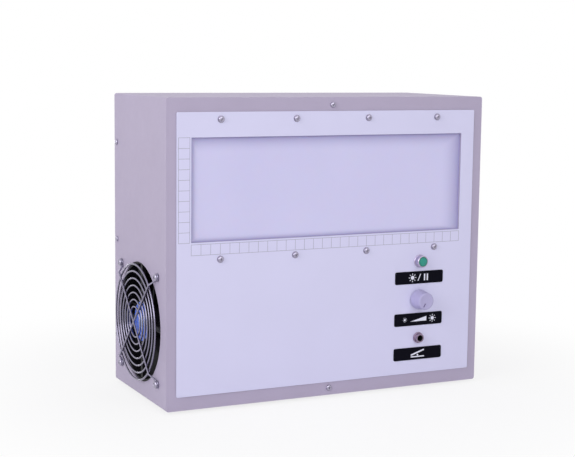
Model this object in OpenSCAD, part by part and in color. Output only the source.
// Bench viewer for x-ray films: a painted steel case that stands on four pads,
// with a lit window, a ruler panel, a brightness knob, a light button, a pedal
// jack, a cooling fan behind a wire guard, and the lamp and its supply inside.
// Lengths are in millimetres. Every module is drawn in the case's own frame:
// X to the right from the middle of the case, Y backwards from the front face,
// Z up from the case's underside. placed() then moves the whole part so that
// its origin is the middle of its footprint, on the surface it stands on.

/* [Case] */
// Width of the case
case_w = 350; // [344:2:400]
// Height of the case without its pads
case_h = 300; // [296:2:360]
// Depth of the case
case_d = 150; // [146:2:190]
// Thickness of the sheet steel
sheet_t = 1.5; // [1.2:0.1:2]
// Outer radius of the long bends
case_bend_r = 2.5; // [2.2:0.1:4]
// Width of the flange behind the front panel
front_flange = 11; // [10:0.5:12]
// Depth of the rear cover's rim
cover_rim = 15; // [13:1:20]
// Distance from the rear edge to the rear cover's screws
cover_screw_inset = 7.5; // [6.5:0.5:9]
// Thickness of the stick-on pads
foot_h = 3; // [2.8:0.2:5]
// Diameter of the stick-on pads
foot_d = 18; // [12:1:22]
// Distance from the case's sides to the middle of a pad
foot_inset = 30; // [26:1:40]

/* [Front overlay] */
// Margin between the case's sides and the overlay
overlay_side = 10; // [8:0.5:11]
// Margin between the case's top and bottom and the overlay
overlay_top = 13.5; // [12:0.5:15]
// Thickness of the overlay
overlay_t = 1; // [0.6:0.1:1.5]
// Corner radius of the overlay
overlay_r = 1.5; // [0.5:0.5:4]

/* [Window] */
// Distance from the case's sides to the window
window_side = 25; // [25:0.5:40]
// Distance from the case's top to the window
window_drop = 37.5; // [36:0.5:40]
// Height of the window's lower edge
window_rise = 162.5; // [160:0.5:172]
// How far the diffuser reaches past the window
diffuser_lap = 5; // [4:0.5:6]
// Thickness of the diffuser
diffuser_t = 4; // [3:0.5:5]
// Thickness of the foam seal behind the diffuser
seal_t = 1; // [0.5:0.1:1.5]
// Spacing of the window screws along a row
window_screw_pitch = 80; // [70:1:84]
// Distance from the window's edge to a row of screws
window_screw_reach = 17; // [15:0.5:18]

/* [Lamp] */
// Depth of the light box
light_box_depth = 48; // [40:1:50]
// Thickness of the light box's sheet
light_box_wall = 1; // [0.8:0.1:1.5]
// Spacing of the light-emitting diodes
led_pitch = 20; // [18:1:22]
// Side of one light-emitting diode
led_size = 5; // [3:0.5:6]
// Height of the heat sink's fins
fin_h = 25; // [15:1:26]
// Spacing of the heat sink's fins
fin_pitch = 10; // [8:0.5:14]

/* [Fan] */
// Distance from the front face to the fan, which ends at the rear cover's rim
fan_front_gap = 15; // [13:0.5:20]
// Thickness of the fan
fan_t = 38; // [36:1:40]
// Distance from the fan's sides to its bore
fan_rim = 2; // [2:0.1:5]
// Distance from the fan's sides to its screws
fan_hole_inset = 7.5; // [7:0.1:8]
// How far the opening in the case's wall clears the fan's bore
fan_opening_lap = 2; // [0:0.1:2]
// Diameter of the fan's hub
fan_hub_d = 42; // [40:1:46]
// Number of blades
fan_blades = 7; // [5:1:9]

/* [Fan guard] */
// Diameter of the guard's wire
guard_wire_d = 1.8; // [1.6:0.1:2.2]
// Distance from the fan's bore to the middle of the outermost ring's wire
guard_ring_inset = 0.2; // [0:0.1:4]
// Spacing of the rings
guard_pitch = 7.1; // [6.5:0.1:7.4]
// Number of rings
guard_rings = 7; // [5:1:7]
// Distance from the case's wall to the middle of the rings
guard_lift = 4.7; // [4.4:0.1:7]

/* [Controls] */
// Distance from the case's right side to the controls
control_inset = 72; // [66:1:80]
// Distance from the window down to the light button
button_drop = 31; // [31:0.5:36]
// Distance from the window down to the brightness knob
knob_drop = 71; // [68:0.5:76]
// Distance from the window down to the pedal jack
jack_drop = 111.5; // [108:0.5:114]
// Diameter of the button's cap
button_d = 10.2; // [9:0.1:10.6]
// How far the cap stands out of the overlay
button_reach = 8.5; // [8:0.1:10]
// Travel of the button
button_travel = 2; // [1:0.1:2.2]
// Diameter of the knob
knob_d = 20.5; // [18:0.5:22]
// Height of the knob
knob_h = 15.5; // [13:0.5:18]
// Diameter of the potentiometer's shaft
shaft_d = 6; // [5:0.5:6.4]
// Bore of the pedal jack
jack_bore_d = 6.4; // [6.38:0.01:6.5]

/* [Power] */
// Distance from the case's left side to the mains inlet
inlet_inset = 80; // [78:1:90]
// Distance from the mains inlet to the power switch
switch_offset = 50; // [46:1:60]
// Height of the mains inlet and the power switch
inlet_rise = 60; // [56:1:66]
// Width of the power supply
supply_w = 129; // [120:1:131]
// Depth of the power supply
supply_d = 97; // [90:1:98]
// Height of the power supply
supply_h = 30; // [28:1:38]

/* [Hidden] */
$fn = 64;
// Overrun of every cut past the face it opens
cut = 1;
// Radial gap round a screw in its hole
screw_gap = 0.25;
// Radial gap in a thread, and between a pin and the piece pressed on it
thread_gap = 0.02;
// Radial gap of a running fit
running_gap = 0.05;
// Gap between pieces that lie side by side
side_gap = 0.3;

// Screws and nuts: thread, head diameter, head height; nut width, nut height
m3_d = 3;
m3_head_d = 5.8;
m3_head_h = 2;
m3_nut_w = 5.5;
m3_nut_h = 2.4;
m4_d = 4;
m4_head_d = 7.4;
m4_head_h = 2.5;
m4_nut_w = 7;
m4_nut_h = 3.2;
washer_d = 7;
washer_t = 0.6;
// How far a screw stands out of its nut
screw_end = 1.5;
// Outline of a pan head, as shares of its radius and its height
pan_head_shares = [[1, 0], [1, 0.4], [0.86, 0.74], [0.6, 0.94], [0.3, 1], [0, 1]];

// Case
cover_gap = 0.2;
cover_screw_shares = [1 / 6, 1 / 2, 5 / 6];
front_screw_rise = 7.5;
vent_w = 3.5;
vent_h = 36;
vent_r = 1.5;
vent_pitch = 12;
vent_columns = 18;
vent_rows = 2;
vent_row_pitch = 50;

// Window and lamp, from the front backwards
window_w = case_w - 2 * window_side;
window_h = case_h - window_drop - window_rise;
window_z = window_rise + window_h / 2;
window_screw_z = window_h / 2 + window_screw_reach;
window_screw_columns = 4;
window_hole_r = m3_d / 2 + screw_gap;
frame_t = diffuser_t + seal_t;
frame_side = 13;
frame_rim = 6;
frame_w = window_w + 2 * frame_side;
frame_h = 2 * (window_screw_z + frame_rim);
frame_r = 3;
seal_w = 3;
box_y = sheet_t + frame_t;
box_w = window_w + 2 * (diffuser_lap - seal_w);
box_h = window_h + 2 * (diffuser_lap - seal_w);
box_lip = 9.5;
box_back = box_y + light_box_depth;
lamp_gap = 0.5;
board_w = box_w - 2 * box_lip - 2 * lamp_gap;
board_h = box_h - 2 * box_lip - 2 * lamp_gap;
board_t = 1.6;
pad_t = 0.5;
led_t = 1;
led_columns = floor((board_w - led_size) / led_pitch / 2) * 2;
led_rows = floor(((board_h - led_size) / led_pitch + 1) / 2) * 2;
sink_base_t = 5;
sink_w = box_w + 2 * light_box_wall;
sink_h = box_h + 2 * light_box_wall;
fin_t = 1.5;
fin_count = floor((sink_w - fin_t) / fin_pitch) + 1;
sink_screw_l = 4;

// Fan, measured inwards from the inner face of the left wall
fan_x = -case_w / 2 + sheet_t;
fan_size = case_d - fan_front_gap - cover_rim;
fan_setback = fan_front_gap + fan_size / 2;
// The room between the floor and the light box, and how much of what the fan leaves is under it
fan_room = window_z - sink_h / 2 - sheet_t;
fan_low_share = 0.355;
fan_rise = sheet_t + fan_low_share * (fan_room - fan_size) + fan_size / 2;
fan_bore_d = fan_size - 2 * fan_rim;
fan_opening_d = fan_bore_d + 2 * fan_opening_lap;
fan_flange_t = 4.5;
fan_corner_r = 7;
fan_ring_wall = 1.8;
fan_mount_t = 4;
fan_mount_in = 0.8;
fan_strut_w = 5;
label_margin = 1.5;
label_t = 0.4;
spin_shaft_d = 3;
bearing_d = 8;
bearing_t = 4;
bearing_gap = 10;
bearing_wall = 1.2;
hub_start = 6.5;
hub_end_in = 4;
hub_t = fan_t - hub_start - hub_end_in;
hub_wall = 2.2;
hub_boss_d = 8;
hub_boss_h = 4;
blade_tip_gap = 1;
blade_chord = 34;
blade_t = 1.6;
blade_curve_r = 40;
// Where the blade's axis lies across its curve, as a share of the curve's radius
blade_axis_share = 0.97;
blade_angle = 43;
core_poles = 4;
core_t = 12;
core_gap = 0.6;
core_yoke = 3;
core_pole_w = 5;
core_shoe_t = 2;
coil_w = 10;
coil_t = 3;

// Fan guard
wire_r = guard_wire_d / 2;
guard_ring_d = fan_bore_d - 2 * guard_ring_inset;
// Spokes lie on the rings and bite into them where they are welded
weld = 0.2;
// The knees are a little thicker than the wire, which covers the rods' ends
knee_share = 1.04;
knee_r = knee_share * wire_r;
spoke_lift = guard_lift + guard_wire_d - weld;
spoke_overhang = 4;
spoke_knee = guard_ring_d / 2 + spoke_overhang;
eye_r = m4_d / 2 + screw_gap + wire_r;
eye_centre = (fan_size - 2 * fan_hole_inset) / sqrt(2);
eye_start = eye_centre - eye_r;
guard_proud = spoke_lift + knee_r;

// Controls
control_x = case_w / 2 - control_inset;
button_rise = window_rise - button_drop;
knob_rise = window_rise - knob_drop;
jack_rise = window_rise - jack_drop;
face_y = -overlay_t;
bezel_d = 13.4;
bezel_t = 1.2;
bezel_h = 7.5;
bezel_edge = 0.5;
barrel_d = 12;
barrel_l = 20;
cap_in = 5;
lug_w = 2.4;
lug_t = 0.6;
lug_l = 6;
button_lug_x = 2.5;
barrel_nut_w = 14;
barrel_nut_h = 2.5;
spring_wire_d = 0.6;
spring_d = 6;
spring_turns = 5;
// What the spring could still give when the button is pressed home
spring_slack = 1.4;
button_depth = cap_in + button_travel + (spring_turns + 1) * spring_wire_d + spring_slack;
knob_gap = 0.6;
knob_taper = 1.5;
knob_top_d = knob_d - 2 * knob_taper;
knob_edge = 1;
knob_roof = 3;
knob_well_d = 13.4;
pointer_w = 1.2;
pointer_l = 4;
pointer_depth = 0.5;
// Half of the potentiometer's turn: the pointer rests at its lower left end
knob_half_turn = 150;
bushing_d = 7;
bushing_reach = 3.6;
knob_well_h = bushing_reach - knob_gap + side_gap;
pot_d = 24;
pot_h = 11;
pot_lug_pitch = 5;
bushing_nut_w = 10;
bushing_nut_h = 2;
grub_l = 4;
jack_bushing_d = 9;
jack_bushing_reach = 5;
jack_nut_d = 11.5;
jack_nut_h = 2;
jack_body_w = 16;
jack_body_l = 27;
jack_lug_pitch = 4;

// Mains inlet and power switch
inlet_x = -case_w / 2 + inlet_inset;
switch_x = inlet_x + switch_offset;
inlet_w = 27;
inlet_h = 19.4;
inlet_depth = 19;
inlet_wall = 1.3;
inlet_flange_w = 50;
inlet_flange_h = 22.5;
inlet_flange_t = 2.5;
inlet_chamfer = 4;
inlet_screw_pitch = 40;
inlet_floor_t = 3;
pin_w = 4;
pin_t = 2;
pin_pitch = 7;
pin_drop = 2;
pin_below = 5.6;
pin_tail = 7;
switch_w = 13;
switch_h = 19;
switch_wall = 1.2;
switch_depth = 16;
switch_bezel = 1.2;
switch_bezel_t = 2;
rocker_r = 8.2;
rocker_gap = 0.2;
rocker_side_gap = 0.15;
rocker_axis_in = 2;
rocker_v = 2.2;
rocker_tilt = 10;
rocker_pin_d = 2;
rocker_pin_l = 0.9;
tab_w = 4.8;
tab_t = 0.8;
tab_l = 8;
tab_pitch = 7;

// Power supply and control board on the case's floor
supply_gap = 8;
supply_x = fan_x + fan_t + supply_gap;
supply_y = case_d - cover_rim - supply_d;
supply_end = 14;
supply_step = 11;
supply_screw_in = 12;
supply_wall = 1.5;
terminal_w = 9;
terminal_h = 12;
terminal_ways = 7;
terminal_pitch = 9.5;
terminal_well_d = 5.5;
terminal_well_h = 4;
card_w = 68;
card_d = 84;
card_t = 1.6;
card_aside = 32.5;
card_gap = 4;
card_x = supply_x + supply_w + card_aside + card_w / 2;
card_y = case_d - cover_rim - card_gap - card_d / 2;
card_hole_in = 5;
standoff_h = 8;
standoff_w = 5.5;
card_screw_l = 5;
card_z = sheet_t + standoff_h;
card_top = card_z + card_t;

// Leads
lead_r = 1;
thin_lead_r = 0.8;
lead_bend = 8;
lead_stub = 6;
// Where the fan's leads meet its frame, as shares of half its side
fan_lead_shares = [-0.82, -0.62];
lead_bend_steps = 3;
lead_sides = 8;

// Extent of the whole part, for its origin
front_reach = overlay_t + knob_gap + knob_h;
rocker_face_angle = atan((rocker_v + rocker_r * tan(rocker_tilt)) / rocker_r);
rocker_reach = switch_bezel_t - rocker_axis_in + rocker_r * sin(rocker_face_angle + rocker_tilt);
origin_x = (guard_proud - m3_head_h) / 2;
origin_y = (front_reach - case_d - rocker_reach) / 2;

// Shared shapes

// Moves a piece from the case's frame to the part's own frame
module placed() translate([origin_x, origin_y, foot_h]) children();

// Extrudes an outline drawn in X and Z, from y0 backwards
module along_y(y0, t) translate([0, y0 + t, 0]) rotate([90, 0, 0]) linear_extrude(t) children();

// Extrudes an outline drawn in Y and Z, from x0 to the right
module along_x(x0, t) translate([x0, 0, 0]) rotate([90, 0, 90]) linear_extrude(t) children();

// Turns a piece whose top faces up so that its top faces another way
module facing_front() rotate([90, 0, 0]) children();
module facing_rear() rotate([-90, 0, 0]) children();
module facing_left() rotate([0, -90, 0]) children();
module facing_right() rotate([0, 90, 0]) children();
module facing_down() rotate([180, 0, 0]) children();

// Rectangle with round corners, about its middle
module rounded(w, h, r) {
  square([w - 2 * r, h], center = true);
  square([w, h - 2 * r], center = true);
  for (x = [-1, 1], z = [-1, 1])
    translate([x * (w / 2 - r), z * (h / 2 - r)])
      circle(r = r);
}

// The case's outline seen from the front, drawn in by inset
module case_outline(inset) {
  translate([0, case_h / 2])
    rounded(case_w - 2 * inset, case_h - 2 * inset, max(case_bend_r - inset, sheet_t / 2));
}

module ring(r_out, r_in, h) {
  difference() {
    cylinder(r = r_out, h = h);
    translate([0, 0, -cut])
      cylinder(r = r_in, h = h + 2 * cut);
  }
}

// Pan-head screw with its head up and the head's seat at height 0
module pan_screw(d, l, head_d, head_h) {
  head = [for (s = pan_head_shares) [s.x * head_d / 2, s.y * head_h]];
  rotate_extrude()
    polygon(concat([[0, -l], [d / 2, -l], [d / 2, 0]], head));
}

module hex_nut(d, w, h) {
  difference() {
    cylinder(d = w / cos(30), h = h, $fn = 6);
    translate([0, 0, -cut])
      cylinder(r = d / 2 + thread_gap, h = h + 2 * cut);
  }
}

// Straight round bar between two points
module rod(from, to, r) {
  span = to - from;
  translate(from)
    rotate([0, acos(span.z / norm(span)), atan2(span.y, span.x)])
      cylinder(r = r, h = norm(span));
}

function unit(v) = v / norm(v);

// What is left of v when its part along the direction t is taken away
function across(v, t) = unit(v - (v * t) * t);

// Curve that rounds the corner b between a and c
function corner(a, b, c) =
  let (reach = min(lead_bend, norm(b - a) / 2, norm(c - b) / 2),
       from = b + reach * unit(a - b),
       to = b + reach * unit(c - b))
  [for (i = [0:lead_bend_steps]) let (s = i / lead_bend_steps)
    (1 - s) * (1 - s) * from + 2 * s * (1 - s) * b + s * s * to];

// A list of points with its inner corners rounded
function lead_path(points) =
  [points[0],
   for (i = [1:len(points) - 2]) each corner(points[i - 1], points[i], points[i + 1]),
   points[len(points) - 1]];

// Direction of a path at its point i
function heading(path, i) = unit(path[min(i + 1, len(path) - 1)] - path[max(i - 1, 0)]);

// One direction across the path at each point, turned as little as possible
function cross_headings(path) =
  let (first = heading(path, 0), last = len(path) - 1)
  [for (i = 0, n = across(abs(first.z) < abs(first.y) ? [0, 0, 1] : [0, 1, 0], first);
        i <= last;
        i = i + 1, n = across(n, heading(path, min(i, last)))) n];

// Insulated lead along a list of points: one tube with its corners rounded
module lead(points, r) {
  path = lead_path(points);
  sides = cross_headings(path);
  last = len(path) - 1;
  tube = [for (i = [0:last], j = [0:lead_sides - 1])
    let (a = 360 * j / lead_sides)
      path[i] + r * (cos(a) * sides[i] + sin(a) * cross(heading(path, i), sides[i]))];
  walls = [for (i = [0:last - 1], j = [0:lead_sides - 1])
    let (k = (j + 1) % lead_sides, near = i * lead_sides, far = near + lead_sides)
      each [[near + j, far + j, far + k], [near + j, far + k, near + k]]];
  start_cap = [for (j = [1:lead_sides - 2]) [0, j, j + 1]];
  end_ring = last * lead_sides;
  end_cap = [for (j = [1:lead_sides - 2]) [end_ring, end_ring + j + 1, end_ring + j]];
  polyhedron(points = tube, faces = concat(walls, start_cap, end_cap));
}

// Places

module at_window_screws() {
  for (i = [0:window_screw_columns - 1], side = [-1, 1])
    translate([(i - (window_screw_columns - 1) / 2) * window_screw_pitch, 0,
               window_z + side * window_screw_z])
      children();
}

module at_front_screws() {
  for (z = [front_screw_rise, case_h - front_screw_rise])
    translate([0, 0, z])
      children();
}

// Both side walls; the child's top faces outwards
module at_cover_screws(inset) {
  for (s = cover_screw_shares) {
    translate([-case_w / 2 + inset, case_d - cover_screw_inset, s * case_h])
      facing_left() children();
    translate([case_w / 2 - inset, case_d - cover_screw_inset, s * case_h])
      facing_right() children();
  }
}

// The fan's own frame: X backwards, Y up, Z inwards from the wall's inner face
module at_fan() translate([fan_x, fan_setback, fan_rise]) rotate([90, 0, 90]) children();

module at_fan_screws() {
  for (a = [45:90:315])
    rotate(a) translate([eye_centre, 0, 0]) children();
}

module at_control(z) translate([control_x, 0, z]) children();

module at_led_screws() {
  for (x = [-1, 0, 1], z = [1 - led_rows / 2 : max(1, led_rows - 2) : led_rows / 2 - 1])
    translate([x * (led_columns - 2) / 2 * led_pitch, 0, window_z + z * led_pitch])
      children();
}

module at_sink_screws() {
  for (x = [-1, 0, 1], z = [-1, 1])
    translate([x * (box_w - box_lip) / 2, 0, window_z + z * (box_h - box_lip) / 2])
      children();
}

module at_supply_screws() {
  for (x = [supply_screw_in, supply_w - supply_end - supply_screw_in],
       y = [supply_screw_in, supply_d - supply_screw_in])
    translate([supply_x + x, supply_y + y, 0])
      children();
}

module at_standoffs() {
  for (x = [-1, 1], y = [-1, 1])
    translate([card_x + x * (card_w / 2 - card_hole_in), card_y + y * (card_d / 2 - card_hole_in), 0])
      children();
}

module at_feet() {
  for (x = [-1, 1], y = [foot_inset, case_d - foot_inset])
    translate([x * (case_w / 2 - foot_inset), y, 0])
      children();
}

// Case

module case_wrap() {
  color("#b9b0c4") difference() {
    along_y(sheet_t, case_d - sheet_t) case_outline(0);
    along_y(2 * sheet_t, case_d) case_outline(sheet_t);
    along_y(0, case_d) case_outline(front_flange);
    at_fan() {
      translate([0, 0, -sheet_t - cut])
        cylinder(d = fan_opening_d, h = sheet_t + 2 * cut);
      at_fan_screws()
        translate([0, 0, -sheet_t - cut])
          cylinder(r = m4_d / 2 + screw_gap, h = sheet_t + 2 * cut);
    }
    at_cover_screws(sheet_t + cut)
      cylinder(r = m3_d / 2 + screw_gap, h = sheet_t + 2 * cut);
    at_front_screws()
      facing_rear() cylinder(r = m3_d / 2 + screw_gap, h = 3 * sheet_t);
    at_supply_screws()
      translate([0, 0, -cut])
        cylinder(r = m3_d / 2 + screw_gap, h = sheet_t + 2 * cut);
    at_standoffs()
      translate([0, 0, -cut])
        cylinder(r = m3_d / 2 + screw_gap, h = sheet_t + 2 * cut);
  }
}

module front_panel() {
  color("#b4abc0") difference() {
    along_y(0, sheet_t) case_outline(0);
    front_openings(0, sheet_t);
    at_front_screws()
      translate([0, -cut, 0])
        facing_rear() cylinder(r = m3_d / 2 + screw_gap, h = sheet_t + 2 * cut);
  }
}

// What the front panel and its overlay leave open
module front_openings(y0, t) {
  along_y(y0 - cut, t + 2 * cut)
    translate([0, window_z])
      square([window_w, window_h], center = true);
  translate([0, y0 - cut, 0]) {
    at_window_screws()
      facing_rear() cylinder(r = window_hole_r, h = t + 2 * cut);
    at_control(button_rise)
      facing_rear() cylinder(r = barrel_d / 2 + screw_gap, h = t + 2 * cut);
    at_control(knob_rise)
      facing_rear() cylinder(r = bushing_d / 2 + screw_gap, h = t + 2 * cut);
    at_control(jack_rise)
      facing_rear() cylinder(r = jack_bushing_d / 2 + screw_gap, h = t + 2 * cut);
  }
}

module front_panel_screws() {
  color("#8d8a92") at_front_screws()
    facing_front() pan_screw(m3_d, 2 * sheet_t + m3_nut_h + screw_end, m3_head_d, m3_head_h);
}

module front_panel_nuts() {
  color("#a9a9ad") at_front_screws()
    translate([0, 2 * sheet_t, 0])
      facing_rear() hex_nut(m3_d, m3_nut_w, m3_nut_h);
}

module rear_cover() {
  color("#b9b0c4") difference() {
    along_y(case_d - cover_rim, cover_rim) case_outline(sheet_t + cover_gap);
    along_y(case_d - cover_rim - sheet_t, cover_rim) case_outline(2 * sheet_t + cover_gap);
    at_cover_screws(2 * sheet_t + cover_gap + cut)
      cylinder(r = m3_d / 2 + screw_gap, h = sheet_t + cover_gap + 2 * cut);
    along_y(case_d - sheet_t - cut, sheet_t + 2 * cut) {
      vents();
      translate([inlet_x, inlet_rise])
        square([inlet_w + side_gap, inlet_h + side_gap], center = true);
      translate([switch_x, inlet_rise])
        square([switch_w + side_gap, switch_h + side_gap], center = true);
    }
    at_inlet_screws()
      translate([0, case_d - sheet_t - cut, 0])
        facing_rear() cylinder(r = m3_d / 2 + thread_gap, h = sheet_t + 2 * cut);
  }
}

// Fields of upright slots that let air in behind the heat sink
module vents() {
  for (i = [0:vent_columns - 1], j = [0:vent_rows - 1])
    translate([(i - (vent_columns - 1) / 2) * vent_pitch,
               window_z + (j - (vent_rows - 1) / 2) * vent_row_pitch])
      rounded(vent_w, vent_h, vent_r);
}

module rear_cover_screws() {
  color("#c9c9ce") at_cover_screws(0)
    pan_screw(m3_d, 2 * sheet_t + cover_gap + m3_nut_h + screw_end, m3_head_d, m3_head_h);
}

module rear_cover_nuts() {
  color("#a9a9ad") at_cover_screws(2 * sheet_t + cover_gap + m3_nut_h)
    hex_nut(m3_d, m3_nut_w, m3_nut_h);
}

module feet() {
  color("#222226") at_feet()
    facing_down()
      rotate_extrude()
        polygon([[0, 0], [foot_d / 2, 0], [foot_d / 2, foot_h / 2],
                 [foot_d / 2 - foot_h / 2, foot_h], [0, foot_h]]);
}

// Front overlay and window

module front_overlay() {
  color("#dcdaec") difference() {
    along_y(-overlay_t, overlay_t)
      translate([0, case_h / 2])
        rounded(case_w - 2 * overlay_side, case_h - 2 * overlay_top, overlay_r);
    front_openings(-overlay_t, overlay_t);
  }
}

module window_screws() {
  color("#d6d6dc") at_window_screws()
    translate([0, face_y - washer_t, 0])
      facing_front()
        pan_screw(m3_d,
                  washer_t + overlay_t + sheet_t + frame_t + light_box_wall + m3_nut_h + screw_end,
                  m3_head_d, m3_head_h);
}

module window_washers() {
  color("#c6c6cc") at_window_screws()
    translate([0, face_y, 0])
      facing_front() ring(washer_d / 2, m3_d / 2 + screw_gap, washer_t);
}

module window_nuts() {
  color("#a9a9ad") at_window_screws()
    translate([0, box_y + light_box_wall, 0])
      facing_rear() hex_nut(m3_d, m3_nut_w, m3_nut_h);
}

module diffuser() {
  color("#d4d2ea") along_y(sheet_t, diffuser_t)
    translate([0, window_z])
      square([window_w + 2 * diffuser_lap, window_h + 2 * diffuser_lap], center = true);
}

module window_frame() {
  color("#3a3a40") difference() {
    along_y(sheet_t, frame_t)
      translate([0, window_z])
        difference() {
          rounded(frame_w, frame_h, frame_r);
          square([window_w + 2 * (diffuser_lap + side_gap),
                  window_h + 2 * (diffuser_lap + side_gap)], center = true);
        }
    at_window_screws()
      facing_rear() cylinder(r = window_hole_r, h = sheet_t + frame_t + cut);
  }
}

module window_seal() {
  color("#2b2b2f") along_y(sheet_t + diffuser_t, seal_t)
    translate([0, window_z])
      difference() {
        square([window_w + 2 * diffuser_lap, window_h + 2 * diffuser_lap], center = true);
        square([box_w, box_h], center = true);
      }
}

// Lamp

module light_box() {
  color("white") difference() {
    union() {
      along_y(box_y, light_box_wall)
        translate([0, window_z])
          rounded(frame_w, frame_h, frame_r);
      along_y(box_y, light_box_depth)
        translate([0, window_z])
          square([sink_w, sink_h], center = true);
    }
    along_y(box_y - cut, light_box_depth - light_box_wall + cut)
      translate([0, window_z])
        square([box_w, box_h], center = true);
    along_y(box_y, light_box_depth + cut)
      translate([0, window_z])
        square([box_w - 2 * box_lip, box_h - 2 * box_lip], center = true);
    at_window_screws()
      facing_rear() cylinder(r = window_hole_r, h = box_y + light_box_wall + cut);
    at_sink_screws()
      facing_rear() cylinder(r = m3_d / 2 + screw_gap, h = box_back + cut);
  }
}

module led_board() {
  color("#e8e8e2") difference() {
    along_y(box_back - pad_t - board_t, board_t)
      translate([0, window_z])
        square([board_w, board_h], center = true);
    at_led_screws()
      facing_rear() cylinder(r = m3_d / 2 + screw_gap, h = box_back);
  }
}

module leds() {
  color("#e9d98a")
    for (i = [0:led_columns - 1], j = [0:led_rows - 1])
      translate([(i - (led_columns - 1) / 2) * led_pitch - led_size / 2,
                 box_back - pad_t - board_t - led_t,
                 window_z + (j - (led_rows - 1) / 2) * led_pitch - led_size / 2])
        cube([led_size, led_t, led_size]);
}

module led_board_screws() {
  color("#c9c9ce") at_led_screws()
    translate([0, box_back - pad_t - board_t, 0])
      facing_front() pan_screw(m3_d, board_t + pad_t + sink_screw_l, m3_head_d, m3_head_h);
}

module thermal_pad() {
  color("#8fa3a8") difference() {
    along_y(box_back - pad_t, pad_t)
      translate([0, window_z])
        square([board_w, board_h], center = true);
    at_led_screws()
      facing_rear() cylinder(r = m3_d / 2 + screw_gap, h = box_back + cut);
  }
}

module heat_sink() {
  color("#b8babd") difference() {
    union() {
      along_y(box_back, sink_base_t)
        translate([0, window_z])
          square([sink_w, sink_h], center = true);
      for (i = [0:fin_count - 1])
        translate([(i - (fin_count - 1) / 2) * fin_pitch - fin_t / 2,
                   box_back, window_z - sink_h / 2])
          cube([fin_t, sink_base_t + fin_h, sink_h]);
    }
    translate([0, box_back - cut, 0]) {
      at_led_screws()
        facing_rear() cylinder(r = m3_d / 2 + thread_gap, h = sink_screw_l + 2 * thread_gap + cut);
      at_sink_screws()
        facing_rear() cylinder(r = m3_d / 2 + thread_gap, h = sink_screw_l + 2 * thread_gap + cut);
    }
  }
}

module heat_sink_screws() {
  color("#c9c9ce") at_sink_screws()
    translate([0, box_back - light_box_wall, 0])
      facing_front() pan_screw(m3_d, light_box_wall + sink_screw_l, m3_head_d, m3_head_h);
}

// Fan

module fan_square() rounded(fan_size, fan_size, fan_corner_r);

module fan_frame() {
  tube_l = 2 * bearing_t + bearing_gap;
  color("#1c1c20") at_fan() {
    difference() {
      union() {
        linear_extrude(fan_flange_t) fan_square();
        translate([0, 0, fan_t - fan_flange_t])
          linear_extrude(fan_flange_t) fan_square();
        cylinder(r = fan_bore_d / 2 + fan_ring_wall, h = fan_t);
      }
      translate([0, 0, -cut])
        cylinder(d = fan_bore_d, h = fan_t + 2 * cut);
      at_fan_screws()
        translate([0, 0, -cut])
          cylinder(r = m4_d / 2 + screw_gap, h = fan_t + 2 * cut);
    }
    difference() {
      translate([0, 0, fan_mount_in]) {
        cylinder(d = fan_hub_d, h = fan_mount_t);
        for (a = [0:90:270])
          rotate(a)
            translate([fan_hub_d / 2 - cut, -fan_strut_w / 2, 0])
              cube([fan_bore_d / 2 - fan_hub_d / 2 + cut + fan_ring_wall / 2, fan_strut_w, fan_mount_t]);
        cylinder(r = bearing_d / 2 + bearing_wall, h = fan_mount_t + tube_l);
      }
      translate([0, 0, fan_mount_in + fan_mount_t])
        cylinder(r = bearing_d / 2 + thread_gap, h = tube_l + cut);
    }
  }
}

module fan_label() {
  color("#3f6fd8") at_fan()
    translate([0, 0, fan_mount_in - label_t])
      cylinder(d = fan_hub_d - 2 * label_margin, h = label_t);
}

module fan_bearings() {
  color("#c9a25a") at_fan()
    for (z = [0, bearing_t + bearing_gap])
      translate([0, 0, fan_mount_in + fan_mount_t + z])
        ring(bearing_d / 2, spin_shaft_d / 2 + running_gap, bearing_t);
}

// Laminated core with four wound poles, pushed over the bearing tube
module fan_stator() {
  tube_r = bearing_d / 2 + bearing_wall + thread_gap;
  core_r = fan_hub_d / 2 - hub_wall - core_gap;
  core_z = fan_mount_in + fan_mount_t + (2 * bearing_t + bearing_gap - core_t) / 2;
  color("#b3652b") at_fan()
    translate([0, 0, core_z])
      difference() {
        union() {
          cylinder(r = tube_r + core_yoke, h = core_t);
          intersection() {
            ring(core_r, core_r - core_shoe_t, core_t);
            for (i = [0:core_poles - 1])
              rotate(i * 360 / core_poles)
                translate([core_r / 2, 0, core_t / 2])
                  cube([core_r + cut, core_r, core_t + 2 * cut], center = true);
          }
          for (i = [0:core_poles - 1])
            rotate(i * 360 / core_poles) {
              translate([0, -core_pole_w / 2, 0])
                cube([core_r - core_shoe_t / 2, core_pole_w, core_t]);
              translate([tube_r + core_yoke, -coil_w / 2, -coil_t / 2])
                cube([core_r - core_shoe_t - tube_r - core_yoke - side_gap, coil_w, core_t + coil_t]);
            }
        }
        translate([0, 0, -coil_t - cut])
          cylinder(r = tube_r, h = core_t + 2 * coil_t + 2 * cut);
      }
}

// One cambered blade: a slice of a curved sheet, cut to the hub and the bore
module fan_blade() {
  hub_r = fan_hub_d / 2;
  tip_r = fan_bore_d / 2 - blade_tip_gap;
  // The sheet starts inside the hub's wall over the blade's whole width
  root_x = hub_r / 2;
  difference() {
    intersection() {
      translate([root_x, 0, hub_start + hub_t / 2])
        rotate([90, 0, 90])
          linear_extrude(tip_r)
            rotate(-blade_angle)
              translate([0, -blade_axis_share * blade_curve_r])
                intersection() {
                  difference() {
                    circle(r = blade_curve_r + blade_t / 2, $fn = 128);
                    circle(r = blade_curve_r - blade_t / 2, $fn = 128);
                  }
                  translate([-blade_chord / 2, 0])
                    square([blade_chord, 2 * blade_curve_r]);
                }
      cylinder(r = tip_r, h = fan_t);
    }
    translate([0, 0, -cut])
      cylinder(r = hub_r - hub_wall / 2, h = fan_t + 2 * cut);
  }
}

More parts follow.
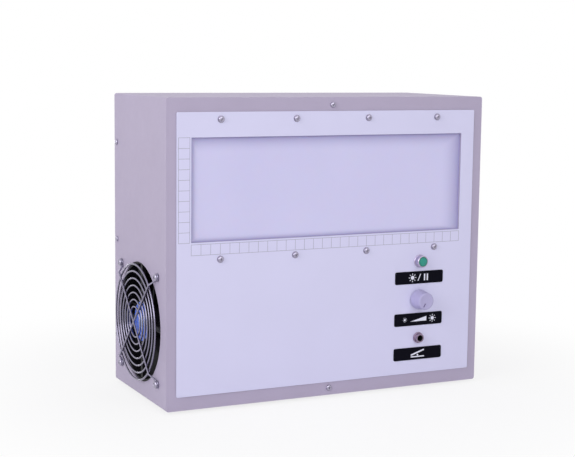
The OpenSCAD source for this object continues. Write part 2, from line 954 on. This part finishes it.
module fan_rotor() {
  hub_r = fan_hub_d / 2;
  color("#26262b") at_fan() {
    difference() {
      union() {
        difference() {
          translate([0, 0, hub_start])
            cylinder(r = hub_r, h = hub_t);
          translate([0, 0, hub_start - cut])
            cylinder(r = hub_r - hub_wall, h = hub_t - hub_wall + cut);
        }
        translate([0, 0, hub_start + hub_t - hub_wall - hub_boss_h])
          cylinder(d = hub_boss_d, h = hub_boss_h + hub_wall / 2);
      }
      translate([0, 0, hub_start])
        cylinder(r = spin_shaft_d / 2 + thread_gap, h = hub_t - hub_wall / 2);
    }
    for (i = [0:fan_blades - 1])
      rotate(i * 360 / fan_blades)
        fan_blade();
  }
}

module fan_shaft() {
  z0 = fan_mount_in + fan_mount_t + side_gap;
  color("#c9c9ce") at_fan()
    translate([0, 0, z0])
      cylinder(d = spin_shaft_d, h = hub_start + hub_t - hub_wall / 2 - z0);
}

// Wire guard: rings under four spokes that drop to an eye at each screw
module fan_guard() {
  color("#cfcdd8") at_fan()
    translate([0, 0, -sheet_t])
      mirror([0, 0, 1]) {
        for (i = [0:guard_rings - 1])
          translate([0, 0, guard_lift])
            rotate_extrude()
              translate([guard_ring_d / 2 - i * guard_pitch, 0])
                circle(r = wire_r);
        rotate(45) rod([-spoke_knee, 0, spoke_lift], [spoke_knee, 0, spoke_lift], wire_r);
        for (side = [-1, 1])
          rotate(135)
            rod([side * wire_r / 2, 0, spoke_lift], [side * spoke_knee, 0, spoke_lift], wire_r);
        for (a = [45:90:315])
          rotate(a) guard_foot();
      }
}

module guard_foot() {
  drop_x = eye_start - guard_wire_d;
  translate([spoke_knee, 0, spoke_lift])
    sphere(r = knee_r);
  rod([spoke_knee, 0, spoke_lift], [drop_x, 0, wire_r], wire_r);
  intersection() {
    translate([drop_x, 0, wire_r])
      sphere(r = knee_r);
    translate([0, -guard_wire_d, 0])
      cube([2 * eye_centre, 2 * guard_wire_d, guard_proud]);
  }
  rod([drop_x, 0, wire_r], [eye_start, 0, wire_r], wire_r);
  translate([eye_centre, 0, wire_r])
    rotate_extrude()
      translate([eye_r, 0])
        circle(r = wire_r);
}

module fan_screws() {
  color("#d6d6dc") at_fan()
    at_fan_screws()
      translate([0, 0, -sheet_t - guard_wire_d])
        facing_down()
          pan_screw(m4_d, guard_wire_d + sheet_t + fan_t + m4_nut_h + screw_end, m4_head_d, m4_head_h);
}

module fan_nuts() {
  color("#a9a9ad") at_fan()
    at_fan_screws()
      translate([0, 0, fan_t])
        hex_nut(m4_d, m4_nut_w, m4_nut_h);
}

// Light button

module button_housing() {
  color("#c8c8d0") at_control(button_rise)
    translate([0, face_y, 0]) {
      difference() {
        union() {
          facing_rear() cylinder(d = barrel_d, h = barrel_l);
          facing_front()
            rotate_extrude()
              polygon([[0, 0], [bezel_d / 2, 0], [bezel_d / 2, bezel_t - bezel_edge],
                       [bezel_d / 2 - bezel_edge, bezel_t], [barrel_d / 2, bezel_t],
                       [barrel_d / 2, bezel_h - bezel_edge],
                       [barrel_d / 2 - bezel_edge, bezel_h], [0, bezel_h]]);
        }
        translate([0, -bezel_h - cut, 0])
          facing_rear() cylinder(r = button_d / 2 + running_gap, h = bezel_h + button_depth + cut);
      }
      for (side = [-1, 1])
        translate([side * button_lug_x - lug_w / 2, barrel_l - cut, -lug_t / 2])
          cube([lug_w, lug_l + cut, lug_t]);
    }
}

module button_cap() {
  color("#1fa06c") at_control(button_rise)
    translate([0, face_y + cap_in, 0])
      facing_front()
        rotate_extrude()
          polygon([[0, 0], [button_d / 2, 0], [button_d / 2, cap_in + button_reach - knob_edge / 2],
                   [button_d / 2 - knob_edge / 2, cap_in + button_reach], [0, cap_in + button_reach]]);
}

// Points of the spring's wire, from the cap to the bottom of the housing
function coil_point(t, r, l) = [r * cos(360 * spring_turns * t), r * sin(360 * spring_turns * t), l * t];

module button_spring() {
  sides = 6;
  steps = 12 * spring_turns;
  coil_r = (spring_d - spring_wire_d) / 2;
  spring_l = button_depth - cap_in - spring_wire_d;
  rings = [for (i = [0:steps]) let (t = i / steps, c = coil_point(t, coil_r, spring_l))
    for (j = [0:sides - 1]) let (a = 360 * j / sides, turn = 360 * spring_turns * t)
      [c.x + spring_wire_d / 2 * cos(a) * cos(turn),
       c.y + spring_wire_d / 2 * cos(a) * sin(turn),
       c.z + spring_wire_d / 2 * sin(a)]];
  walls = [for (i = [0:steps - 1], j = [0:sides - 1]) let (k = (j + 1) % sides)
    for (face = [[i * sides + j, i * sides + k, (i + 1) * sides + k],
                 [i * sides + j, (i + 1) * sides + k, (i + 1) * sides + j]]) face];
  start_cap = [for (j = [1:sides - 2]) [0, j + 1, j]];
  end_cap = [for (j = [1:sides - 2]) [steps * sides, steps * sides + j, steps * sides + j + 1]];
  color("#c9c9ce") at_control(button_rise)
    translate([0, face_y + cap_in + spring_wire_d / 2, 0])
      facing_rear()
        polyhedron(points = rings, faces = concat(walls, start_cap, end_cap));
}

module button_nut() {
  color("#c0c0c6") at_control(button_rise)
    translate([0, sheet_t, 0])
      facing_rear() hex_nut(barrel_d, barrel_nut_w, barrel_nut_h);
}

// Brightness knob and potentiometer

module knob() {
  bore_l = knob_h - knob_roof;
  color("#c9c7d6") at_control(knob_rise)
    translate([0, face_y - knob_gap, 0])
      facing_front()
        difference() {
          rotate_extrude()
            polygon([[0, 0], [knob_d / 2 - knob_edge / 2, 0], [knob_d / 2, knob_edge / 2],
                     [knob_top_d / 2, knob_h - knob_edge],
                     [knob_top_d / 2 - knob_edge, knob_h], [0, knob_h]]);
          translate([0, 0, -cut])
            cylinder(d = knob_well_d, h = knob_well_h + cut);
          translate([0, 0, -cut])
            cylinder(r = shaft_d / 2 + thread_gap, h = bore_l + cut);
          rotate(knob_half_turn)
            translate([-pointer_w / 2, knob_top_d / 2 - knob_edge - pointer_l, knob_h - pointer_depth])
              cube([pointer_w, pointer_l, pointer_depth + cut]);
          rotate(knob_half_turn + 180)
            translate([0, 0, grub_z()])
              facing_rear() cylinder(r = m3_d / 2 + thread_gap, h = knob_d);
        }
}

// Height of the set screw above the knob's foot
function grub_z() = (knob_well_h + knob_h - knob_roof) / 2;

module knob_set_screw() {
  color("#6d6d73") at_control(knob_rise)
    translate([0, face_y - knob_gap, 0])
      facing_front()
        rotate(knob_half_turn + 180)
          translate([0, shaft_d / 2 + 2 * thread_gap, grub_z()])
            facing_rear() cylinder(d = m3_d, h = grub_l);
}

module potentiometer() {
  color("#8c8f96") at_control(knob_rise) {
    difference() {
      union() {
        translate([0, sheet_t, 0])
          facing_rear() cylinder(d = pot_d, h = pot_h);
        translate([0, face_y - bushing_reach, 0])
          facing_rear() cylinder(d = bushing_d, h = bushing_reach + overlay_t + sheet_t + cut);
      }
      translate([0, face_y - bushing_reach - cut, 0])
        facing_rear()
          cylinder(r = shaft_d / 2 + running_gap, h = bushing_reach + overlay_t + pot_h + cut);
    }
    for (i = [-1:1])
      translate([i * pot_lug_pitch - lug_w / 2, sheet_t + pot_h / 2, -pot_d / 2 - lug_l])
        cube([lug_w, lug_t, lug_l + cut]);
  }
}

module potentiometer_shaft() {
  tip = face_y - knob_gap - knob_h + knob_roof + side_gap;
  color("#b9b9bf") at_control(knob_rise)
    translate([0, tip, 0])
      facing_rear() cylinder(d = shaft_d, h = pot_h - side_gap - tip);
}

module potentiometer_nut() {
  color("#c0c0c6") at_control(knob_rise)
    translate([0, face_y, 0])
      facing_front() hex_nut(bushing_d, bushing_nut_w, bushing_nut_h);
}

// Pedal jack

module jack_socket() {
  color("#3a3a3f") at_control(jack_rise)
    difference() {
      union() {
        translate([-jack_body_w / 2, sheet_t, -jack_body_w / 2])
          cube([jack_body_w, jack_body_l, jack_body_w]);
        translate([0, face_y - jack_bushing_reach, 0])
          facing_rear()
            cylinder(d = jack_bushing_d, h = jack_bushing_reach + overlay_t + sheet_t + cut);
      }
      translate([0, face_y - jack_bushing_reach - cut, 0])
        facing_rear()
          cylinder(d = jack_bore_d, h = jack_bushing_reach + overlay_t + jack_body_l + cut);
    }
}

module jack_nut() {
  color("#bdbbc6") at_control(jack_rise)
    translate([0, face_y, 0])
      facing_front() ring(jack_nut_d / 2, jack_bushing_d / 2 + thread_gap, jack_nut_h);
}

module jack_lugs() {
  color("#c9c9ce") at_control(jack_rise)
    for (i = [-1:1])
      translate([i * jack_lug_pitch - lug_w / 2, sheet_t + jack_body_l, -lug_t / 2])
        cube([lug_w, lug_l, lug_t]);
}

// Mains inlet

module at_inlet_screws() {
  for (side = [-1, 1])
    translate([inlet_x + side * inlet_screw_pitch / 2, 0, inlet_rise])
      children();
}

// Outline of the inlet's socket, with its two upper corners cut off
module inlet_socket_outline() {
  w = inlet_w / 2 - inlet_wall;
  h = inlet_h / 2 - inlet_wall;
  polygon([[-w, -h], [w, -h], [w, h - inlet_chamfer], [w - inlet_chamfer, h],
           [inlet_chamfer - w, h], [-w, h - inlet_chamfer]]);
}

module power_inlet() {
  rim_y = case_d + inlet_flange_t;
  floor_y = case_d - inlet_depth + inlet_floor_t;
  color("#202024") difference() {
    union() {
      along_y(case_d - inlet_depth, inlet_depth + cut)
        translate([inlet_x, inlet_rise])
          square([inlet_w, inlet_h], center = true);
      along_y(case_d, inlet_flange_t)
        translate([inlet_x, inlet_rise])
          rounded(inlet_flange_w, inlet_flange_h, 2 * inlet_flange_t);
    }
    along_y(floor_y, rim_y - floor_y + cut)
      translate([inlet_x, inlet_rise])
        inlet_socket_outline();
    at_inlet_screws()
      translate([0, case_d - cut, 0])
        facing_rear() cylinder(r = m3_d / 2 + screw_gap, h = inlet_flange_t + 2 * cut);
    at_inlet_pins()
      translate([0, case_d - inlet_depth - cut, 0])
        translate([-pin_t / 2 - thread_gap, 0, -pin_w / 2 - thread_gap])
          cube([pin_t + 2 * thread_gap, inlet_floor_t + 2 * cut, pin_w + 2 * thread_gap]);
  }
}

// Three upright blades, with the middle one lower
module at_inlet_pins() {
  for (i = [-1:1])
    translate([inlet_x + i * pin_pitch, 0, inlet_rise + (i == 0 ? 1 : -1) * pin_drop])
      children();
}

module inlet_pins() {
  tip_y = case_d + inlet_flange_t - pin_below;
  tail_y = case_d - inlet_depth - pin_tail;
  color("#c9c9ce") at_inlet_pins()
    translate([-pin_t / 2, tail_y, -pin_w / 2])
      cube([pin_t, tip_y - tail_y, pin_w]);
}

module inlet_screws() {
  color("#c9c9ce") at_inlet_screws()
    translate([0, case_d + inlet_flange_t, 0])
      facing_rear()
        pan_screw(m3_d, inlet_flange_t + sheet_t + screw_end, m3_head_d, m3_head_h);
}

// Power switch

module at_switch() translate([switch_x, case_d + switch_bezel_t - rocker_axis_in, inlet_rise]) children();

module power_switch() {
  cavity_w = switch_w - 2 * switch_wall;
  color("#202024") at_switch()
    difference() {
      union() {
        along_y(rocker_axis_in - switch_bezel_t - switch_depth, switch_depth + cut)
          square([switch_w, switch_h], center = true);
        along_y(rocker_axis_in - switch_bezel_t, switch_bezel_t)
          rounded(switch_w + 2 * switch_bezel, switch_h + 2 * switch_bezel, switch_bezel);
      }
      facing_right()
        translate([0, 0, -cavity_w / 2])
          cylinder(r = rocker_r + rocker_gap, h = cavity_w);
      translate([-cavity_w / 2, 0, -rocker_r - rocker_gap])
        cube([cavity_w, switch_depth, 2 * (rocker_r + rocker_gap)]);
      for (side = [-1, 1])
        translate([side * cavity_w / 2, 0, 0])
          facing_right()
            cylinder(r = rocker_pin_d / 2 + running_gap, h = 2 * rocker_pin_l + side_gap, center = true);
    }
}

// Rocker with a shallow V face; it rests off, pressed in at its lower end
module power_rocker() {
  w = switch_w - 2 * switch_wall - 2 * rocker_side_gap;
  edge = rocker_v + rocker_r * tan(rocker_tilt);
  color("#2c2c31") at_switch()
    rotate([-rocker_tilt, 0, 0]) {
      intersection() {
        facing_right()
          cylinder(r = rocker_r, h = w, center = true);
        along_x(-w / 2, w)
          polygon([[0, -rocker_r], [edge, -rocker_r], [rocker_v, 0], [edge, rocker_r],
                   [0, rocker_r], [-rocker_r, rocker_v], [-rocker_r, -rocker_v]]);
      }
      facing_right()
        cylinder(d = rocker_pin_d, h = w + 2 * (rocker_side_gap + rocker_pin_l), center = true);
    }
}

module switch_tabs() {
  color("#c9c9ce")
    for (z = [-1, 1])
      translate([switch_x - tab_w / 2, case_d - switch_depth - tab_l,
                 inlet_rise + (z * tab_pitch - tab_t) / 2])
        cube([tab_w, tab_l, tab_t]);
}

// Power supply

module power_supply() {
  color("#b4b6ba") difference() {
    translate([supply_x, supply_y, sheet_t])
      cube([supply_w, supply_d, supply_h]);
    // The cover stops short of the terminals, which stand on the base plate
    translate([supply_x + supply_w - supply_end, supply_y + supply_wall, sheet_t + supply_wall])
      cube([supply_end + cut, supply_d - 2 * supply_wall, supply_h]);
    translate([supply_x + supply_w - supply_end, supply_y - cut, sheet_t + supply_step])
      cube([supply_end + cut, supply_d + 2 * cut, supply_h]);
    at_supply_screws()
      cylinder(r = m3_d / 2 + thread_gap, h = sheet_t + sink_screw_l + 2 * thread_gap);
  }
}

module at_terminals() {
  for (i = [0:terminal_ways - 1])
    translate([supply_x + supply_w - supply_end + terminal_w / 2,
               supply_y + supply_d / 2 + (i - (terminal_ways - 1) / 2) * terminal_pitch, 0])
      children();
}

module terminal_block() {
  color("#1f1f22") difference() {
    translate([supply_x + supply_w - supply_end,
               supply_y + supply_d / 2 - terminal_ways * terminal_pitch / 2, sheet_t + supply_wall])
      cube([terminal_w, terminal_ways * terminal_pitch, terminal_h]);
    at_terminals()
      translate([0, 0, sheet_t + supply_wall + terminal_h - terminal_well_h])
        cylinder(d = terminal_well_d, h = terminal_well_h + cut);
  }
}

module power_supply_screws() {
  color("#c9c9ce") at_supply_screws()
    facing_down() pan_screw(m3_d, sheet_t + sink_screw_l, m3_head_d, m3_head_h);
}

// Control board

module control_board() {
  color("#1f6b3f") difference() {
    translate([card_x - card_w / 2, card_y - card_d / 2, card_z])
      cube([card_w, card_d, card_t]);
    at_standoffs()
      cylinder(r = m3_d / 2 + screw_gap, h = card_top + cut);
  }
}

// Places on the board, as shares of its half width and half depth
cap_shares = [[-0.55, 0.35], [-0.55, -0.05], [-0.1, 0.35]];
chip_shares = [[-0.5, -0.5], [0, -0.15]];
cap_d = 12;
cap_h = 18;
chip_w = 18;
chip_d = 7;
chip_h = 3.5;
driver_w = 10;
driver_t = 4.6;
driver_h = 16;
driver_share = [0.45, 0.1];
plate_w = 24;
plate_t = 3;
plate_h = 20;
socket_w = 12;
socket_d = 8;
socket_h = 9;
socket_shares = [[0.05, -0.75], [0.5, -0.75], [0.1, 0.78], [-0.5, 0.78]];

function card_place(s) = [card_x + s.x * card_w / 2, card_y + s.y * card_d / 2, card_top];

module board_components() {
  color("#39424c") {
    for (s = cap_shares)
      translate(card_place(s)) cylinder(d = cap_d, h = cap_h);
    for (s = chip_shares)
      translate(card_place(s) - [chip_w / 2, chip_d / 2, 0]) cube([chip_w, chip_d, chip_h]);
    for (s = socket_shares)
      translate(card_place(s) - [socket_w / 2, socket_d / 2, 0]) cube([socket_w, socket_d, socket_h]);
    translate(card_place(driver_share)) {
      translate([-driver_w / 2, 0, 0]) cube([driver_w, driver_t, driver_h]);
      translate([-plate_w / 2, driver_t, 0]) cube([plate_w, plate_t, plate_h]);
    }
  }
}

module board_standoffs() {
  color("#c2a14d") at_standoffs()
    translate([0, 0, sheet_t])
      hex_nut(m3_d, standoff_w, standoff_h);
}

// A screw from above and a shorter one from under the case at each standoff
module board_screws() {
  color("#c9c9ce") at_standoffs() {
    translate([0, 0, card_top])
      pan_screw(m3_d, card_screw_l, m3_head_d, m3_head_h);
    facing_down()
      pan_screw(m3_d, sheet_t + standoff_h / 2, m3_head_d, m3_head_h);
  }
}

// Leads

// Terminal of the supply, counted from the rear
function terminal_place(i) =
  [supply_x + supply_w - supply_end + terminal_w / 2,
   supply_y + supply_d / 2 + ((terminal_ways - 1) / 2 - i) * terminal_pitch,
   sheet_t + supply_wall + terminal_h - terminal_well_h];

// From the inlet to the switch, and from both to the supply's first terminals
module mains_leads() {
  inlet_end = case_d - inlet_depth - pin_tail;
  switch_end = case_d - switch_depth - tab_l;
  first = terminal_place(0);
  color("#4a6fb0") {
    // Line, from the inlet to the switch
    lead([[inlet_x + pin_pitch, inlet_end, inlet_rise - pin_drop],
          [inlet_x + pin_pitch, inlet_end - lead_stub, inlet_rise - pin_drop],
          [switch_x, switch_end - lead_stub, inlet_rise - tab_pitch / 2],
          [switch_x, switch_end, inlet_rise - tab_pitch / 2]], lead_r);
    // From the switch to the first terminal
    lead([[switch_x, switch_end, inlet_rise + tab_pitch / 2],
          [switch_x, switch_end - lead_stub, inlet_rise + tab_pitch / 2],
          [first.x, first.y, inlet_rise + tab_pitch / 2],
          first], lead_r);
    // Neutral and earth, from the inlet to the next terminals
    for (i = [1, 2])
      lead([[inlet_x + (i - 2) * pin_pitch, inlet_end, inlet_rise + (2 * i - 3) * pin_drop],
            [inlet_x + (i - 2) * pin_pitch, inlet_end - 3 * i * lead_stub,
             inlet_rise + (2 * i - 3) * pin_drop],
            [first.x, first.y - i * terminal_pitch, inlet_rise + (2 * i - 3) * pin_drop],
            terminal_place(i)], lead_r);
  }
}

// Low voltage: from the supply to the control board and the fan, and from the
// board's rear socket up to the lamp, through the heat sink
module supply_leads() {
  power = card_place(socket_shares[3]) + [0, 0, socket_h];
  lamp = card_place(socket_shares[2]) + [0, 0, socket_h];
  lamp_end = [lamp.x, box_back + sink_base_t + fin_h, window_z - sink_h / 4];
  fan_end = [fan_x + fan_t, fan_setback + fan_lead_shares.x * fan_size / 2,
             fan_rise + fan_lead_shares.y * fan_size / 2];
  color("#c0473c")
    for (side = [-1, 1]) {
      aside = [side * socket_w / 4, 0, 0];
      board_terminal = terminal_place(3 + (side + 1) / 2);
      lead([board_terminal,
            board_terminal + [0, 0, 2 * lead_bend],
            power + aside + [0, 0, lead_bend],
            power + aside], thin_lead_r);
      lead([lamp + aside,
            lamp + aside + [0, 0, 3 * lead_bend],
            lamp_end + aside + [0, lead_bend, 0],
            lamp_end + aside], thin_lead_r);
      fan_terminal = terminal_place(5 + (side + 1) / 2);
      fan_aside = [0, 0, -2 * side * thin_lead_r];
      lead([fan_terminal,
            fan_terminal + [0, 0, 4 * lead_bend],
            fan_end + fan_aside + [lead_bend, 0, 0],
            fan_end + fan_aside], thin_lead_r);
    }
}

// From the control board's front sockets to the button, the knob's
// potentiometer and the jack
module control_leads() {
  near = card_place(socket_shares[0]);
  far = card_place(socket_shares[1]);
  pot_y = sheet_t + (pot_h + lug_t) / 2;
  pot_end = knob_rise - pot_d / 2 - lug_l;
  jack_end = sheet_t + jack_body_l + lug_l;
  button_end = face_y + barrel_l + lug_l;
  color("#d8b13a")
    for (side = [-1, 1]) {
      lead([[control_x + side * jack_lug_pitch, jack_end, jack_rise],
            [control_x + side * jack_lug_pitch, jack_end + lead_bend, jack_rise],
            far + [side * socket_w / 4, 0, socket_h + lead_bend],
            far + [side * socket_w / 4, 0, socket_h]], thin_lead_r);
      lead([[control_x + side * pot_lug_pitch, pot_y, pot_end],
            [control_x + side * pot_lug_pitch, pot_y, pot_end - lead_bend / 2],
            [control_x + side * pot_lug_pitch, jack_end, pot_end - lead_bend],
            near + [(2 + side) * socket_w / 8, 0, socket_h + 2 * lead_bend],
            near + [(2 + side) * socket_w / 8, 0, socket_h]], thin_lead_r);
      lead([[control_x + side * button_lug_x, button_end, button_rise],
            [control_x + side * button_lug_x, button_end + lead_bend, button_rise],
            near + [(side - 2) * socket_w / 8, 0, socket_h + 4 * lead_bend],
            near + [(side - 2) * socket_w / 8, 0, socket_h]], thin_lead_r);
    }
}

placed() case_wrap();
placed() front_panel();
placed() front_panel_screws();
placed() front_panel_nuts();
placed() rear_cover();
placed() rear_cover_screws();
placed() rear_cover_nuts();
placed() feet();
placed() front_overlay();
placed() window_screws();
placed() window_washers();
placed() window_nuts();
placed() diffuser();
placed() window_frame();
placed() window_seal();
placed() light_box();
placed() led_board();
placed() leds();
placed() led_board_screws();
placed() thermal_pad();
placed() heat_sink();
placed() heat_sink_screws();
placed() fan_frame();
placed() fan_label();
placed() fan_bearings();
placed() fan_stator();
placed() fan_rotor();
placed() fan_shaft();
placed() fan_guard();
placed() fan_screws();
placed() fan_nuts();
placed() button_housing();
placed() button_cap();
placed() button_spring();
placed() button_nut();
placed() knob();
placed() knob_set_screw();
placed() potentiometer();
placed() potentiometer_shaft();
placed() potentiometer_nut();
placed() jack_socket();
placed() jack_nut();
placed() jack_lugs();
placed() power_inlet();
placed() inlet_pins();
placed() inlet_screws();
placed() power_switch();
placed() power_rocker();
placed() switch_tabs();
placed() power_supply();
placed() terminal_block();
placed() power_supply_screws();
placed() control_board();
placed() board_components();
placed() board_standoffs();
placed() board_screws();
placed() mains_leads();
placed() supply_leads();
placed() control_leads();
